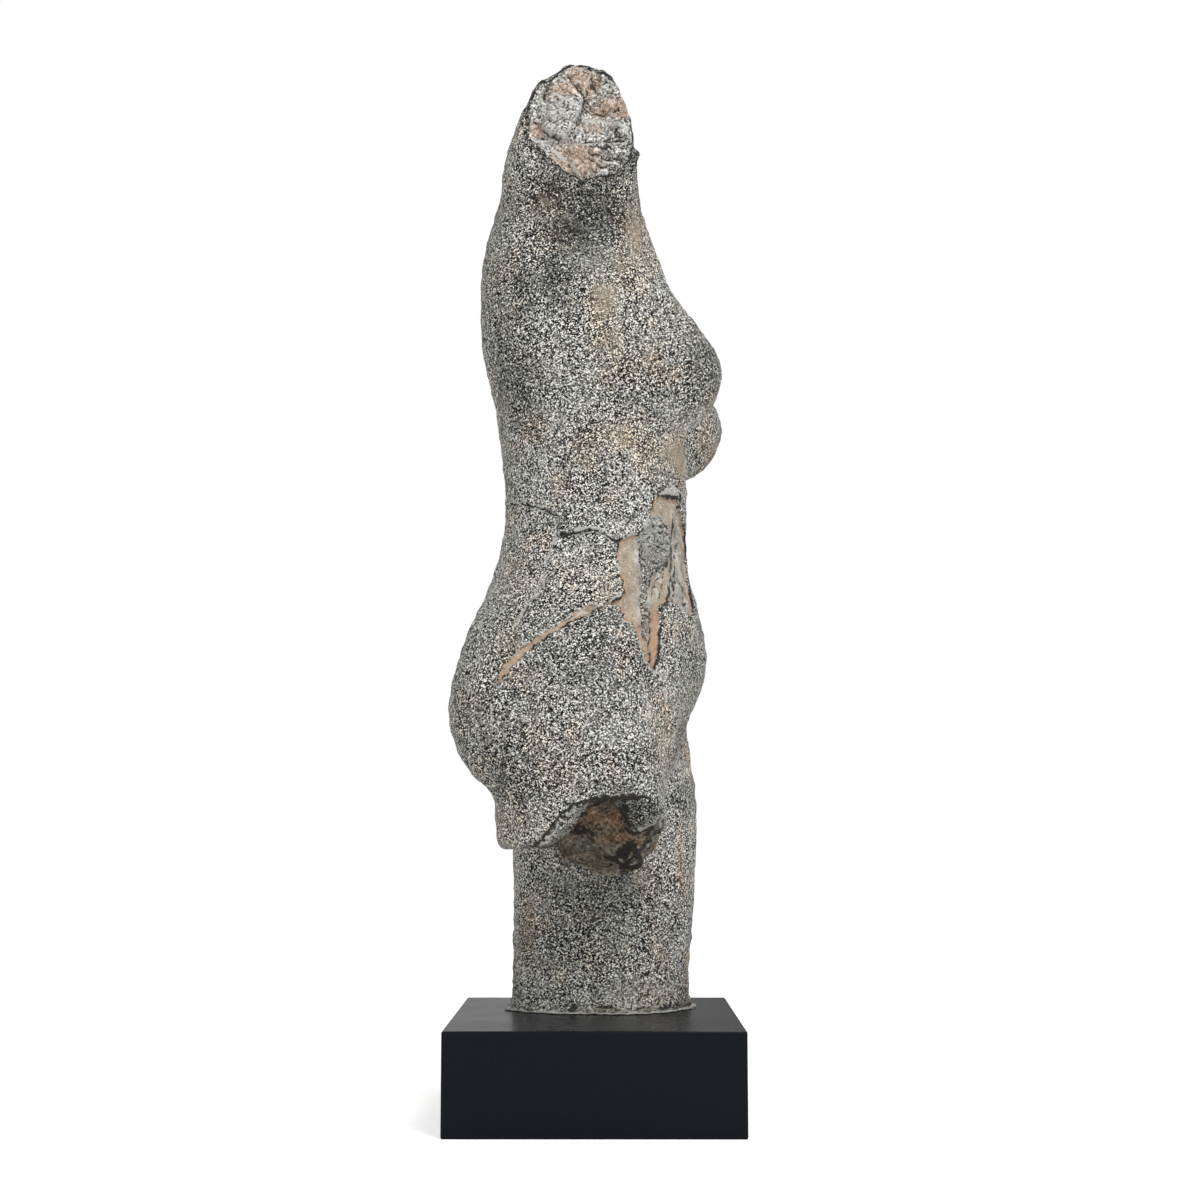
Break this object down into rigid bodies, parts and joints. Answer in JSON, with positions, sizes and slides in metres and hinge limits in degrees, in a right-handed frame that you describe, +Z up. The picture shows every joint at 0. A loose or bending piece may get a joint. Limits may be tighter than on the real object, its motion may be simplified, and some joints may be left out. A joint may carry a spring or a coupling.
{
  "type": "resin female torso sculpture",
  "caption": "Standing female torso in weathered resin, broken off at the neck, arms and one thigh, fixed upright on a rectangular black plinth.",
  "frame": {"origin": "middle of the plinth's underside, where the sculpture stands", "axes": "+Z up; +X the way the figure faces; +Y towards the figure's left side, so the pictured side faces -Y"},
  "size_m": [0.202, 0.25, 0.7338],
  "materials": {
    "weathered_resin": "rough stone-effect cast resin, grey with pale and dark specks and rust-tan breaks",
    "black_plinth": "matte black paint with a slight sheen on top"
  },
  "bodies": {
    "root": {"torso": "weathered_resin", "plinth": "black_plinth"}
  },
  "joints": []
}
